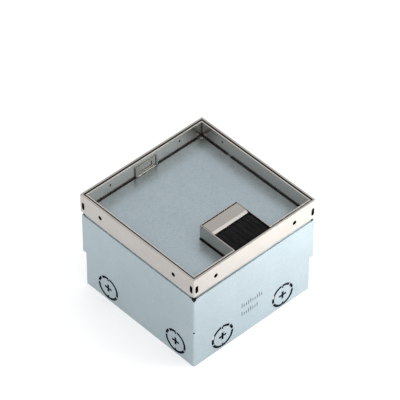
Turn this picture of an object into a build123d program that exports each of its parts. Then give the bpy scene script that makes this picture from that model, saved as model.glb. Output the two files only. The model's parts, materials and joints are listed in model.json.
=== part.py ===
from build123d import *
import os
from math import cos, radians, sin

# A square floor socket box, all sizes in millimetres. +Z is up and z = 0 is the underside
# of the base. The cable outlet is on the -Y side and the lifting handle on the +Y side.

# Outside sizes
FRAME_W = 200.0        # outside width of the square top frame
HEIGHT = 148.0         # underside of the base to the rim of the frame
FRAME_H = 28.0         # height of the top frame
LID_LOW = 0.5          # lid rim below the rim of the frame
BAND_H = 6.0           # band of the collar that shows between box and frame
BOX_INSET = 0.5        # box wall behind the face of the frame
STEP_Z = 53.0          # height of the shoulder in the two rear walls
STEP_IN = 6.5          # the lower rear walls stand in by this much

# Sheet thicknesses
SHEET_T = 1.25         # galvanised box, collar and lid plate
BASE_T = 1.5           # base pan
FRAME_T = 3.0          # stainless frame wall
LEDGE_T = 1.5          # ledge of the frame that carries the lid
RIM_T = 1.5            # stainless rim of the lid
CHUTE_T = 1.0          # stainless outlet chute and flap
BRACKET_T = 2.0        # levelling brackets and lugs
BEND_R = 2.0           # outside radius of the corner bends of the box
EDGE_R = 1.2           # outside radius where the two shells of the box meet

# Clearances
PAST = 1.0             # cutters run past the faces by this much
LID_GAP = 1.5          # frame to lid rim
COLLAR_GAP = 0.4       # box wall to collar
THREAD_GAP = 0.05      # radial gap of a screw in its nut
PIN_GAP = 0.05         # radial gap of the flap on its pin
FLAP_GAP = 0.6         # flap to the side walls of the chute
FLAP_BACK_GAP = 0.4    # flap to the back wall of the chute
SLIDE_GAP = 0.3        # lifting handle to the rim
WINDOW_GAP = 0.25      # module body to its window

# Holes in the frame sides
SIDE_HOLE_D = 6.0
SIDE_HOLE_IN = 35.5    # from the corner of the frame
SIDE_HOLE_Z = 15.0     # below the rim
SIDE_SLOT_W = 4.6
SIDE_SLOT_L = 11.5
SIDE_SLOT_IN = 4.8
SIDE_SLOT_Z = 17.3

# Ledge, seal, collar
LEDGE_W = 12.0
SEAL_T = 1.0
SEAL_W = 8.0
COLLAR_OVER = 6.0      # collar above the brackets
COLLAR_R = 2.5
COLLAR_NOTCH_R = 2.0   # notches in the collar's corners under the frame

# Knockouts for cable conduit
KNOCK_R = 16.0         # middle of the ring of slots
KNOCK_SLOT = 3.6
KNOCK_WEB = 2.0
KNOCK_WEBS = (5.0, 44.0, 94.0, 200.0)
KNOCK_Z = 20.6
KNOCK_CROSS = 12.0
KNOCK_CROSS_W = 3.4
KNOCK_NOTCH = 2.2
KNOCK_SIDE = (-67.0, 53.8)
KNOCK_FRONT = (-52.5, 47.9)
KNOCK_REAR = (-50.0, 50.0)
RELIEF_R = 1.2         # bend relief holes on the box corners
RELIEF_Z = 58.0
RELIEF_TOP_R = 2.8     # larger ones at the box's upper edge, through the collar too

# Base pan and its fixings
BASE_TAB_W = 22.0
BASE_TAB_H = 14.0
BASE_HOLE_D = 7.0
BASE_HOLE_X = 50.0     # floor fixings from the middle
BASE_HOLE_IN = 9.75    # floor fixings in from the rear wall
JOINT_FLANGE = 12.0    # rear shell's flange on the front shell

# Levelling
SCREW_IN = 16.6        # screw axes in from the collar, both ways
SCREW_D = 6.0
SCREW_BELOW = 8.0      # tops of the screws below the frame
SCREW_HEX = 3.0
SCREW_HEX_DEEP = 4.0
BRACKET_OVER = 5.75    # bracket shelf above the shoulder
BRACKET_UP = 14.0
BRACKET_END = 10.0     # bracket past the screw's axis
BRACKET_CUT = 3.0      # open corner between the two upstands
LUG_LOW = 2.0          # lug above the collar's lower edge
LUG_UP = 14.0
NUT_AF = 10.0
NUT_H = 5.0
LUG_HOLE_GAP = 0.4

# Lid
SLOT_W = 2.1           # shadow slots between lid plate and rim
RIM_TAB = 8.0          # tabs under the lid plate
CORNER_TAB = 7.0
WEB_AT = 44.0
WEB_W = 6.0
LOCK_HOLE_D = 3.0
LOCK_HOLE_AT = 57.0    # from the middle of each side; one side has a single hole
LOCK_HOLE_Z = 9.0      # below the rim
RIVET_D = 3.2
RIVET_HEAD_D = 5.6
RIVET_HEAD_H = 1.0
CORNER_RIVET_IN = 3.2  # corner rivets, in from the rim
RIB_H = 8.0
RIB_TOP = 14.0
RIB_FLANGE = 9.0
RIB_IN = 7.0           # ends of the ribs, in from the ledge
RIB_FRONT_Y = 4.0
RIB_BACK_IN = 27.0     # rear rib in from the ledge

# Cable outlet
OUTLET_X = -0.8
OUTLET_HALF = 29.75    # outside of the chute
OUTLET_L = 57.8        # outside of the chute's back wall to the rim
OUTLET_SLOT = 1.8
OUTLET_TAB_W = 14.0
REST_TAB_L = 8.0
REST_TAB_W = 4.0
PIN_D = 2.0
PIN_PROUD = 0.3
LIP_FLAT = 17.1        # back edge of the flap to the start of its lip
LIP_R = 2.0
LIP_TURN = 24.0
LIP_L = 3.6            # straight length of the lip past its bend
HOLDER_W = 9.0
HOLDER_H = 7.0
HOLDER_T = 1.2
BRUSH_T = 4.6
BRUSH_UNDER = 0.1      # bristles to the lip above them
BRUSH_TOP = 1.0        # top of the fanned bristles below the rim
BRUSH_RISE = 8.0       # length over which they fan out
BRUSH_TIP_DOWN = 1.0

# Lifting handle
HANDLE_X = 0.9
HANDLE_W = 33.6        # across its ears
HANDLE_T = 0.8
HANDLE_H = 15.5
HANDLE_EAR = 1.5       # each ear past the side of the plate
HANDLE_EAR_H = 3.6
HANDLE_LIFT = 11.0
HANDLE_LOW = 0.2       # above the lid plate
HANDLE_FOOT = 1.2      # depth of the fold at the foot
HANDLE_FOLD = 0.6      # radius of the fold's upper edge
GUIDE_T = 0.8          # guides of the handle
GRIP_W = 18.0
GRIP_H = 8.0
GRIP_R = 1.5
GRIP_LOW = 4.0         # grip window above the foot

# Device carrier
CARRIER_Z = 50.0
CARRIER_BACK = 25.0    # carrier plate to the rear wall
CARRIER_EDGE = 5.0     # carrier plate past its windows, at the front and back
MODULE = 44.8
MODULE_PITCH = 45.4
ROW_PITCH = 51.0
MODULE_BODY = 42.0
MODULE_FACE = 2.5
MODULE_DEEP = 30.0
MODULE_R = 1.5
SKIRT_T = 2.0
SKIRT_H = 6.0
LEG_FOOT = 12.0
LEG_L = 92.0
LEG_WINDOW_L = 56.0
LEG_WINDOW_H = 24.0
LEG_IN = 4.0           # leg web in from the carrier's edge
LEG_GAP = 1.0          # leg flange to the nearest module
WELL_D = 39.0
WELL_DEEP = 17.5
PIN_HOLE_D = 5.0
PIN_PITCH = 19.0
PIN_HOLE_DEEP = 10.0
CLIP_W = 4.0
CLIP_T = 0.8
CLIP_H = 14.0
JACK_W = 14.6
JACK_H = 13.0
JACK_DEEP = 16.0
JACK_PITCH = 20.0
PORT_W = 11.8
PORT_H = 7.0
PORT_DEEP = 12.0
TAB_KEY_W = 4.0
TAB_KEY_H = 2.0
CARRIER_SCREW_D = 4.0
CARRIER_HEAD_D = 7.5
CARRIER_HEAD_H = 2.2
STUD_D = 6.0
STUD_H = 16.0
RAIL_IN = 26.0         # rail to the front wall
RAIL_Z = 30.0
RAIL_L = 120.0
RAIL_W = 18.0
RAIL_TEETH = 6
RAIL_TOOTH = 6.0

# Levels
Z_RIM = HEIGHT - LID_LOW
Z_FRAME = HEIGHT - FRAME_H
Z_LEDGE = Z_FRAME + LEDGE_T
Z_SEAL = Z_LEDGE + SEAL_T
Z_TAB = Z_SEAL + RIM_T
Z_PLATE = Z_TAB + SHEET_T
Z_BOX = Z_FRAME - BAND_H
Z_BRACKET = STEP_Z + SHEET_T + BRACKET_OVER
Z_COLLAR = Z_BRACKET + BRACKET_T + BRACKET_UP + COLLAR_OVER
Z_LUG = Z_COLLAR + LUG_LOW
Z_SCREW = Z_BRACKET + BRACKET_T
Z_SCREW_TOP = Z_FRAME - SCREW_BELOW

# Half widths
FRAME_OUT = FRAME_W / 2
FRAME_IN = FRAME_OUT - FRAME_T
RIM_OUT = FRAME_IN - LID_GAP
RIM_IN = RIM_OUT - RIM_T
BOX_OUT = FRAME_OUT - BOX_INSET
BOX_IN = BOX_OUT - SHEET_T
LOW_OUT = BOX_OUT - STEP_IN
LOW_IN = LOW_OUT - SHEET_T
COLLAR_OUT = BOX_IN - COLLAR_GAP
COLLAR_IN = COLLAR_OUT - SHEET_T
CARRIER_L = 2 * (MODULE_PITCH + MODULE_BODY / 2 + LEG_GAP + LEG_FOOT + LEG_IN)
CARRIER_W = ROW_PITCH + MODULE + 2 * CARRIER_EDGE

# Places from the middle
SIDE_HOLE_AT = FRAME_OUT - SIDE_HOLE_IN
SIDE_SLOT_AT = FRAME_OUT - SIDE_SLOT_IN
SCREW_AT = COLLAR_IN - SCREW_IN
BASE_HOLE_Y = LOW_IN - BASE_HOLE_IN
LEDGE_IN = FRAME_IN - LEDGE_W
RIB_HALF_L = LEDGE_IN - RIB_IN
RIB_Y = (RIB_FRONT_Y, LEDGE_IN - RIB_BACK_IN)
OUTLET_BACK = OUTLET_L - RIM_IN
CARRIER_X = (LOW_OUT - BOX_OUT) / 2
CARRIER_Y = LOW_IN - CARRIER_BACK - CARRIER_W / 2
RAIL_Y = RAIL_IN - BOX_IN
CORNERS = {"front": (-1, -1), "left": (-1, 1), "right": (1, -1), "back": (1, 1)}

# Places of the handle's guides, from its middle
GUIDE_AT = HANDLE_W / 2 + SLIDE_GAP
GUIDE_LIP_AT = HANDLE_W / 2 - HANDLE_EAR + SLIDE_GAP

# Places of the flap and its brush
KNUCKLE_R = PIN_D / 2 + PIN_GAP + CHUTE_T
FLAP_BACK = OUTLET_BACK - CHUTE_T - FLAP_BACK_GAP
PIN_Y = FLAP_BACK - KNUCKLE_R
PIN_Z = Z_RIM - KNUCKLE_R
LIP_END = LIP_FLAT + LIP_R * sin(radians(LIP_TURN)) + LIP_L * cos(radians(LIP_TURN))
LIP_DROP = LIP_R * (1 - cos(radians(LIP_TURN))) + LIP_L * sin(radians(LIP_TURN)) + CHUTE_T
HOLDER_AT = LIP_FLAT - HOLDER_W
HOLDER_Z = Z_RIM - CHUTE_T - HOLDER_H

os.makedirs("parts", exist_ok=True)


def block(x0, x1, y0, y1, z0, z1):
    """A box between two corners."""
    return Pos((x0 + x1) / 2, (y0 + y1) / 2, (z0 + z1) / 2) * Box(x1 - x0, y1 - y0, z1 - z0)


def square(half, z0, z1):
    """A square slab about the Z axis."""
    return block(-half, half, -half, half, z0, z1)


def post(x, y, z0, z1, diameter):
    """An upright cylinder."""
    return Pos(x, y, (z0 + z1) / 2) * Cylinder(diameter / 2, z1 - z0)


def cross_pin(x0, x1, y, z, diameter):
    """A cylinder along X."""
    return Pos((x0 + x1) / 2, y, z) * Rot(0, 90, 0) * Cylinder(diameter / 2, x1 - x0)


def depth_pin(x, y0, y1, z, diameter):
    """A cylinder along Y."""
    return Pos(x, (y0 + y1) / 2, z) * Rot(90, 0, 0) * Cylinder(diameter / 2, y1 - y0)


def save(name, shape):
    """Write one sub-part, as one solid or a group of solids."""
    solids = list(shape.solids())
    export_step(solids[0] if len(solids) == 1 else Compound(solids), f"parts/{name}.step")


def on_sides(cutter):
    """The same cutter on the four sides of the square."""
    return [Rot(0, 0, 90 * turn) * cutter for turn in range(4)]


def knockout_cutter(mirrored):
    """Ring of slots with four webs, a cross in the middle and two twist notches."""
    ring = Circle(KNOCK_R + KNOCK_SLOT / 2) - Circle(KNOCK_R - KNOCK_SLOT / 2)
    for angle in KNOCK_WEBS:
        turn = 180 - angle if mirrored else angle
        ring -= Rot(0, 0, turn) * Pos(KNOCK_R, 0) * Rectangle(2 * KNOCK_SLOT, KNOCK_WEB)
    cross = Rectangle(KNOCK_CROSS, KNOCK_CROSS_W) + Rectangle(KNOCK_CROSS_W, KNOCK_CROSS)
    notch_l = KNOCK_NOTCH + KNOCK_SLOT / 2
    cutters = [extrude(ring, SHEET_T, both=True), extrude(cross, SHEET_T, both=True)]
    for side in (-1, 1):
        notch = Pos(0, side * (KNOCK_R - notch_l / 2)) * Rectangle(KNOCK_NOTCH, notch_l)
        cutters.append(extrude(notch, SHEET_T, both=True))
    return cutters


def knockouts(wall, positions, outside, mirrored):
    """Knockout cutters on one wall, facing outward."""
    normals = {"-y": (0, -1, 0), "-x": (-1, 0, 0), "+y": (0, 1, 0), "+x": (1, 0, 0)}
    rights = {"-y": (1, 0, 0), "-x": (0, -1, 0), "+y": (-1, 0, 0), "+x": (0, 1, 0)}
    cutters = []
    for along in positions:
        at = (along, outside, KNOCK_Z) if wall[1] == "y" else (outside, along, KNOCK_Z)
        face = Plane(origin=at, x_dir=rights[wall], z_dir=normals[wall])
        cutters += [face * cutter for cutter in knockout_cutter(mirrored)]
    return cutters


def tub(inset, z_low, z_shoulder):
    """The stepped inside or outside volume of the box."""
    upper = square(BOX_OUT - inset, z_shoulder, Z_BOX + PAST)
    lower = block(inset - BOX_OUT, LOW_OUT - inset, inset - BOX_OUT, LOW_OUT - inset, z_low, z_shoulder)
    return upper + lower


def box_shells():
    """The two L-shaped wall shells: front with two flat walls, rear with the shoulder."""
    outer = tub(0, 0, STEP_Z)
    upright = outer.edges().filter_by(Axis.Z)
    outer = fillet(upright.sort_by(lambda e: e.center().X + e.center().Y)[0], BEND_R)
    upright = outer.edges().filter_by(Axis.Z)
    outer = fillet(upright.sort_by(lambda e: e.center().X + e.center().Y)[-1], BEND_R)
    upright = outer.edges().filter_by(Axis.Z)
    by_side = upright.sort_by(lambda e: e.center().X - e.center().Y)
    outer = fillet([by_side[0], by_side[-1]], EDGE_R)
    walls = outer - tub(SHEET_T, -PAST, STEP_Z + SHEET_T) - square(FRAME_W, Z_BOX, Z_BOX + 2)
    rear_space = block(-BOX_IN, FRAME_W, -BOX_IN, FRAME_W, -PAST, HEIGHT)
    front = walls - rear_space
    rear = walls & rear_space
    front -= block(LOW_OUT, FRAME_W, -FRAME_W, -BOX_IN, -PAST, STEP_Z)
    front -= block(-FRAME_W, -BOX_IN, LOW_OUT, FRAME_W, -PAST, STEP_Z)
    flange_top = STEP_Z - BEND_R
    rear += block(-BOX_IN, SHEET_T - BOX_IN, LOW_IN - JOINT_FLANGE, LOW_OUT, BASE_T, flange_top)
    rear += block(LOW_IN - JOINT_FLANGE, LOW_OUT, -BOX_IN, SHEET_T - BOX_IN, BASE_T, flange_top)
    front -= knockouts("-x", KNOCK_SIDE, -BOX_OUT, True)
    front -= knockouts("-y", KNOCK_FRONT, -BOX_OUT, False)
    rear -= knockouts("+x", KNOCK_REAR, LOW_OUT, True)
    rear -= knockouts("+y", KNOCK_REAR, LOW_OUT, False)
    for z, radius in ((Z_BOX, RELIEF_TOP_R), (RELIEF_Z, RELIEF_R)):
        for side in (-1, 1):
            place = Pos(side * BOX_OUT, side * BOX_OUT, z) * Rot(0, 0, 45) * Rot(0, 90, 0)
            hole = place * Cylinder(radius, 4 * BEND_R)
            front -= hole
            rear -= hole
    return front, rear


def base_pan():
    """Base plate with four upturned tabs and the floor fixing holes."""
    low, high = -BOX_IN, LOW_IN
    pan = block(low, high, low, high, 0, BASE_T)
    half = BASE_TAB_W / 2
    pan += block(low, low + BASE_T, -half, half, 0, BASE_TAB_H)
    pan += block(high - BASE_T, high, -half, half, 0, BASE_TAB_H)
    pan += block(-half, half, low, low + BASE_T, 0, BASE_TAB_H)
    pan += block(-half, half, high - BASE_T, high, 0, BASE_TAB_H)
    for x, y in CORNERS.values():
        pan -= post(x * BASE_HOLE_X, y * BASE_HOLE_Y, -PAST, BASE_T + PAST, BASE_HOLE_D)
    return pan


def corner_angle(sx, sy, wall, z, up, hole_d):
    """A folded corner bracket: a shelf round the screw with two upstands on the walls."""
    reach = SCREW_AT - BRACKET_END
    shape = block(reach, wall, reach, wall, z, z + BRACKET_T)
    shape -= Pos(reach, reach, z) * Rot(0, 0, 45) * Box(BRACKET_END, BRACKET_END, 4 * BRACKET_T)
    shape += block(wall - BRACKET_T, wall, reach, wall, z, z + BRACKET_T + up)
    shape += block(reach, wall, wall - BRACKET_T, wall, z, z + BRACKET_T + up)
    cut = wall - BRACKET_CUT
    shape -= block(cut, wall + PAST, cut, wall + PAST, z - PAST, z + BRACKET_T + up + PAST)
    if hole_d:
        shape -= post(SCREW_AT, SCREW_AT, z - PAST, z + BRACKET_T + PAST, hole_d)
    quarter = {(1, 1): 0, (-1, 1): 90, (-1, -1): 180, (1, -1): 270}[(sx, sy)]
    return Rot(0, 0, quarter) * shape


def level_screw():
    """Levelling grub screw with a hexagon socket, standing on its bracket."""
    rod = post(0, 0, Z_SCREW, Z_SCREW_TOP, SCREW_D)
    rod = chamfer(rod.edges().filter_by(GeomType.CIRCLE), SCREW_D / 8)
    socket = RegularPolygon(SCREW_HEX / 2, 6, major_radius=False)
    return rod - Pos(0, 0, Z_SCREW_TOP - SCREW_HEX_DEEP) * extrude(socket, SCREW_HEX_DEEP + PAST)


def level_nut():
    """Hexagon nut welded on a lug."""
    body = extrude(RegularPolygon(NUT_AF / 2, 6, major_radius=False), NUT_H)
    bore = post(0, 0, -PAST, NUT_H + PAST, SCREW_D + 2 * THREAD_GAP)
    return Pos(0, 0, Z_LUG + BRACKET_T) * (body - bore)


def top_frame():
    """Stainless frame: thick wall, ledge for the lid, side holes and corner slots."""
    frame = square(FRAME_OUT, Z_FRAME, HEIGHT) - square(FRAME_IN, Z_LEDGE, HEIGHT + PAST)
    frame -= square(LEDGE_IN, Z_FRAME - PAST, Z_LEDGE + PAST)
    cutters = []
    for side in (-1, 1):
        cutters.append(depth_pin(side * SIDE_HOLE_AT, FRAME_IN - PAST, FRAME_OUT + PAST,
                                 HEIGHT - SIDE_HOLE_Z, SIDE_HOLE_D))
        slot = SlotOverall(SIDE_SLOT_L, SIDE_SLOT_W)
        slot = extrude(Plane.XZ * Rot(0, 0, 90) * slot, FRAME_T / 2 + PAST, both=True)
        cutters.append(Pos(side * SIDE_SLOT_AT, FRAME_OUT - FRAME_T / 2, HEIGHT - SIDE_SLOT_Z) * slot)
    for cutter in cutters:
        frame -= on_sides(cutter)
    return frame


def collar():
    """Galvanised collar that telescopes in the box under the frame."""
    outline = RectangleRounded(2 * COLLAR_OUT, 2 * COLLAR_OUT, COLLAR_R)
    hollow = RectangleRounded(2 * COLLAR_IN, 2 * COLLAR_IN, COLLAR_R - SHEET_T)
    band = Pos(0, 0, Z_COLLAR) * extrude(outline - hollow, Z_FRAME - Z_COLLAR)
    for x, y in CORNERS.values():
        angle = 45 if x == y else -45
        across = Pos(x * COLLAR_OUT, y * COLLAR_OUT, 0) * Rot(0, 0, angle) * Rot(0, 90, 0)
        for z, radius in ((Z_FRAME, COLLAR_NOTCH_R), (Z_BOX, RELIEF_TOP_R)):
            band -= Pos(0, 0, z) * across * Cylinder(radius, 4 * COLLAR_R)
    return band


def lid_seal():
    """Flat rubber ring between the ledge and the lid."""
    return square(RIM_OUT, Z_LEDGE, Z_SEAL) - square(RIM_OUT - SEAL_W, Z_LEDGE - PAST, Z_SEAL + PAST)


def side_webs():
    """Where the lid plate reaches the rim on each side: (side, from, to)."""
    end = RIM_IN - CORNER_TAB
    handle = GUIDE_AT + GUIDE_T
    webs = [("+y", HANDLE_X - handle, HANDLE_X + handle), ("+x", WEB_AT - WEB_W / 2, WEB_AT + WEB_W / 2)]
    for side in (-1, 1):
        webs.append(("-x", side * WEB_AT - WEB_W / 2, side * WEB_AT + WEB_W / 2))
    for wall in ("+y", "+x", "-x", "-y"):
        webs += [(wall, -RIM_IN, -end), (wall, end, RIM_IN)]
    return webs


def along_wall(wall, start, stop, depth0, depth1, z0, z1):
    """A block beside one wall, between two depths in from the rim's inside."""
    near, far = RIM_IN - depth1, RIM_IN - depth0
    spans = {"+y": (start, stop, near, far), "-y": (start, stop, -far, -near),
             "+x": (near, far, start, stop), "-x": (-far, -near, start, stop)}
    return block(*spans[wall], z0, z1)


def rivet_places():
    """Rivets of the lid plate, at the rim's corners."""
    at = RIM_IN - CORNER_RIVET_IN
    return [(x * at, y * at) for x, y in CORNERS.values()]


def lid_rim():
    """Stainless rim of the lid, open at the outlet, with tabs under the lid plate."""
    rim = square(RIM_OUT, Z_SEAL, Z_RIM) - square(RIM_IN, Z_SEAL - PAST, Z_RIM + PAST)
    for wall, start, stop in side_webs():
        rim += along_wall(wall, start, stop, 0, RIM_TAB, Z_SEAL, Z_TAB)
    inside = OUTLET_HALF - CHUTE_T
    rim -= block(OUTLET_X - inside, OUTLET_X + inside, -FRAME_OUT, -RIM_IN + PAST,
                 Z_SEAL - PAST, Z_RIM + PAST)
    for side in (-1, 1):
        holes = on_sides(depth_pin(side * LOCK_HOLE_AT, RIM_IN - PAST, RIM_OUT + PAST,
                                   Z_RIM - LOCK_HOLE_Z, LOCK_HOLE_D))
        rim -= holes if side < 0 else holes[:-1]
    for x, y in rivet_places():
        rim -= post(x, y, Z_SEAL - PAST, Z_TAB + PAST, RIVET_D)
    return rim


def lid_plate():
    """Galvanised plate of the lid with shadow slots at the rim and round the chute."""
    webs = [along_wall(wall, start, stop, 0, SLOT_W, Z_TAB, Z_PLATE) for wall, start, stop in side_webs()]
    plate = square(RIM_IN - SLOT_W, Z_TAB, Z_PLATE)
    for web in webs:
        plate += web
    low, high = OUTLET_X - OUTLET_HALF, OUTLET_X + OUTLET_HALF
    plate -= block(low, high, -RIM_OUT, OUTLET_BACK, Z_TAB - PAST, Z_PLATE + PAST)
    for x0, x1 in ((low - OUTLET_SLOT, low), (high, high + OUTLET_SLOT)):
        plate -= block(x0, x1, -RIM_IN + CORNER_TAB, OUTLET_BACK, Z_TAB - PAST, Z_PLATE + PAST)
    for side in (-1, 1):
        start = OUTLET_X + side * OUTLET_TAB_W / 2
        stop = OUTLET_X + side * (OUTLET_HALF - CORNER_TAB)
        plate -= block(min(start, stop), max(start, stop), OUTLET_BACK, OUTLET_BACK + OUTLET_SLOT,
                       Z_TAB - PAST, Z_PLATE + PAST)
    for x, y in rivet_places():
        plate -= post(x, y, Z_TAB - PAST, Z_PLATE + PAST, RIVET_D)
    return plate


def lid_rivets():
    """Domed rivets that hold the lid plate down on the tabs."""
    shapes = []
    for x, y in rivet_places():
        shank = post(x, y, Z_SEAL, Z_PLATE, RIVET_D)
        head = post(x, y, Z_PLATE, Z_PLATE + RIVET_HEAD_H, RIVET_HEAD_D)
        head = chamfer(head.edges().filter_by(GeomType.CIRCLE).sort_by(Axis.Z)[-1], RIVET_HEAD_H / 2)
        shapes.append(shank + head)
    return Compound([shape.solid() for shape in shapes])


def chute():
    """Stainless chute: back and side walls of the outlet, with tabs and pin holes."""
    low, high = OUTLET_X - OUTLET_HALF, OUTLET_X + OUTLET_HALF
    walls = block(low, high, -RIM_IN, OUTLET_BACK, Z_SEAL, Z_RIM)
    inner_low, inner_high = low + CHUTE_T, high - CHUTE_T
    walls -= block(inner_low, inner_high, -RIM_OUT, OUTLET_BACK - CHUTE_T, Z_SEAL - PAST, Z_RIM + PAST)
    half = OUTLET_TAB_W / 2
    walls += block(OUTLET_X - half, OUTLET_X + half, OUTLET_BACK, OUTLET_BACK + RIM_TAB, Z_SEAL, Z_TAB)
    tab_y = FLAP_BACK - HOLDER_AT - HOLDER_W
    tab_z = HOLDER_Z - CHUTE_T
    for x0, x1 in ((inner_low, inner_low + REST_TAB_W), (inner_high - REST_TAB_W, inner_high)):
        walls += block(x0, x1, tab_y, tab_y + REST_TAB_L, tab_z, HOLDER_Z)
    walls -= cross_pin(low - PAST, high + PAST, PIN_Y, PIN_Z, PIN_D)
    return walls


def flap_profile():
    """Section of the flap: rolled knuckle round the pin, flat top and bent lip."""
    knuckle = Circle(KNUCKLE_R) - Circle(PIN_D / 2 + PIN_GAP)
    knuckle = Pos(PIN_Y, PIN_Z) * knuckle
    flat_end = FLAP_BACK - LIP_FLAT
    flat = Pos((PIN_Y + flat_end) / 2, Z_RIM - CHUTE_T / 2) * Rectangle(PIN_Y - flat_end, CHUTE_T)
    flat -= Pos(PIN_Y, PIN_Z) * Circle(PIN_D / 2 + PIN_GAP)
    bend = Circle(LIP_R) - Circle(LIP_R - CHUTE_T)
    reach = 2 * LIP_R
    turn = radians(LIP_TURN)
    wedge = make_face(Polyline((0, 0), (0, reach), (-reach * sin(turn), reach * cos(turn)), close=True))
    facet = Rot(0, 0, LIP_TURN) * Pos(-LIP_L / 2, LIP_R - CHUTE_T / 2) * Rectangle(LIP_L, CHUTE_T)
    lip = Pos(flat_end, Z_RIM - LIP_R) * ((bend & wedge) + facet)
    return knuckle + flat + lip


def flap_plate():
    """Hinged stainless flap over the back of the outlet."""
    half = OUTLET_HALF - CHUTE_T - FLAP_GAP
    section = Plane.YZ * flap_profile()
    plate = extrude(section, half, both=True)
    return Pos(OUTLET_X, 0, 0) * plate


def brush_holder():
    """Folded channel under the flap that grips the bristles."""
    half = OUTLET_HALF - CHUTE_T - FLAP_GAP
    back, front = FLAP_BACK - HOLDER_AT, FLAP_BACK - HOLDER_AT - HOLDER_W
    low = HOLDER_Z + HOLDER_T
    holder = block(-half, half, front, back, HOLDER_Z, HOLDER_Z + HOLDER_H)
    holder -= block(-half - PAST, half + PAST, front - PAST, back - HOLDER_T, low, low + BRUSH_T)
    return Pos(OUTLET_X, 0, 0) * holder


def bristles():
    """The brush: a pad of bristles from the holder to the frame, fanned out past the lip."""
    half = OUTLET_HALF - CHUTE_T - FLAP_GAP
    root = FLAP_BACK - HOLDER_AT - HOLDER_T
    mouth = FLAP_BACK - HOLDER_AT - HOLDER_W
    lip = FLAP_BACK - LIP_END
    tip = -RIM_OUT
    low, high = HOLDER_Z + HOLDER_T, HOLDER_Z + HOLDER_T + BRUSH_T
    under = Z_RIM - LIP_DROP - BRUSH_UNDER
    top = Z_RIM - BRUSH_TOP
    outline = Polyline((root, low), (root, high), (mouth, high), (lip, under), (lip - BRUSH_RISE, top),
                       (tip, top), (tip, low - BRUSH_TIP_DOWN), (mouth, low), close=True)
    pad = extrude(Plane.YZ * make_face(outline), half, both=True)
    return Pos(OUTLET_X, 0, 0) * pad


def lid_rib(y):
    """Hat-section stiffener under the lid plate."""
    half = RIB_TOP / 2
    low = Z_TAB - RIB_H
    points = [(-half - RIB_FLANGE, Z_TAB), (-half, Z_TAB), (-half, low + SHEET_T), (half, low + SHEET_T),
              (half, Z_TAB), (half + RIB_FLANGE, Z_TAB), (half + RIB_FLANGE, Z_TAB - SHEET_T),
              (half + SHEET_T, Z_TAB - SHEET_T), (half + SHEET_T, low), (-half - SHEET_T, low),
              (-half - SHEET_T, Z_TAB - SHEET_T), (-half - RIB_FLANGE, Z_TAB - SHEET_T)]
    hat = extrude(Plane.YZ * make_face(Polyline(*points, close=True)), RIB_HALF_L, both=True)
    return Pos(0, y, 0) * hat


def lift_handle():
    """Pull plate with a grip window, a fold at its foot and two ears that stop it in the guides."""
    back = RIM_IN - SLIDE_GAP
    front = back - HANDLE_T
    low = Z_PLATE + HANDLE_LOW
    half = HANDLE_W / 2
    foot = GUIDE_LIP_AT - SLIDE_GAP
    plate = block(-half, half, front, back, low, low + HANDLE_EAR_H)
    plate += block(HANDLE_EAR - half, half - HANDLE_EAR, front, back, low, low + HANDLE_H)
    fold = block(-foot, foot, front - HANDLE_FOOT, back, low, low + HANDLE_T)
    plate += fillet(fold.edges().filter_by(Axis.X).group_by(Axis.Y)[0].sort_by(Axis.Z)[-1], HANDLE_FOLD)
    window = extrude(Plane.XZ * RectangleRounded(GRIP_W, GRIP_H, GRIP_R), 2 * HANDLE_T, both=True)
    plate -= Pos(0, front, low + GRIP_LOW + GRIP_H / 2) * window
    return Pos(HANDLE_X, 0, 0) * plate


def handle_guides():
    """Two folded guides on the rim, closed at the top to stop the ears of the pull plate."""
    face = RIM_IN - HANDLE_T - 2 * SLIDE_GAP
    stop = Z_PLATE + HANDLE_LOW + HANDLE_EAR_H + HANDLE_LIFT + SLIDE_GAP
    outside = GUIDE_AT + GUIDE_T
    shapes = []
    for side in (-1, 1):
        guide = block(GUIDE_AT, outside, face - GUIDE_T, RIM_IN, Z_PLATE, stop + GUIDE_T)
        guide += block(GUIDE_LIP_AT, outside, face - GUIDE_T, face, Z_PLATE, stop + GUIDE_T)
        guide += block(GUIDE_LIP_AT, outside, face - GUIDE_T, RIM_IN, stop, stop + GUIDE_T)
        if side < 0:
            guide = mirror(guide, Plane.YZ)
        shapes.append((Pos(HANDLE_X, 0, 0) * guide).solid())
    return Compound(shapes)


def module_places():
    """Middles of the module windows: three across, two rows."""
    return [(CARRIER_X + MODULE_PITCH * column, CARRIER_Y + ROW_PITCH * (row - 0.5))
            for row in (1, 0) for column in (-1, 0, 1)]


def carrier_screw_places():
    """Screws of the carrier plate on its two legs."""
    x = CARRIER_L / 2 - LEG_IN - LEG_FOOT / 2
    return [(CARRIER_X + sx * x, CARRIER_Y + sy * LEG_L / 3) for sx in (-1, 1) for sy in (-1, 1)]


def carrier_plate():
    """Carrier plate with six module windows."""
    plate = block(CARRIER_X - CARRIER_L / 2, CARRIER_X + CARRIER_L / 2, CARRIER_Y - CARRIER_W / 2,
                  CARRIER_Y + CARRIER_W / 2, CARRIER_Z, CARRIER_Z + BASE_T)
    window = MODULE_BODY / 2 + WINDOW_GAP
    low, high = CARRIER_Z - PAST, CARRIER_Z + BASE_T + PAST
    for x, y in module_places():
        plate -= block(x - window, x + window, y - window, y + window, low, high)
    for x, y in carrier_screw_places():
        plate -= post(x, y, low, high, CARRIER_SCREW_D)
    return plate


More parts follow.
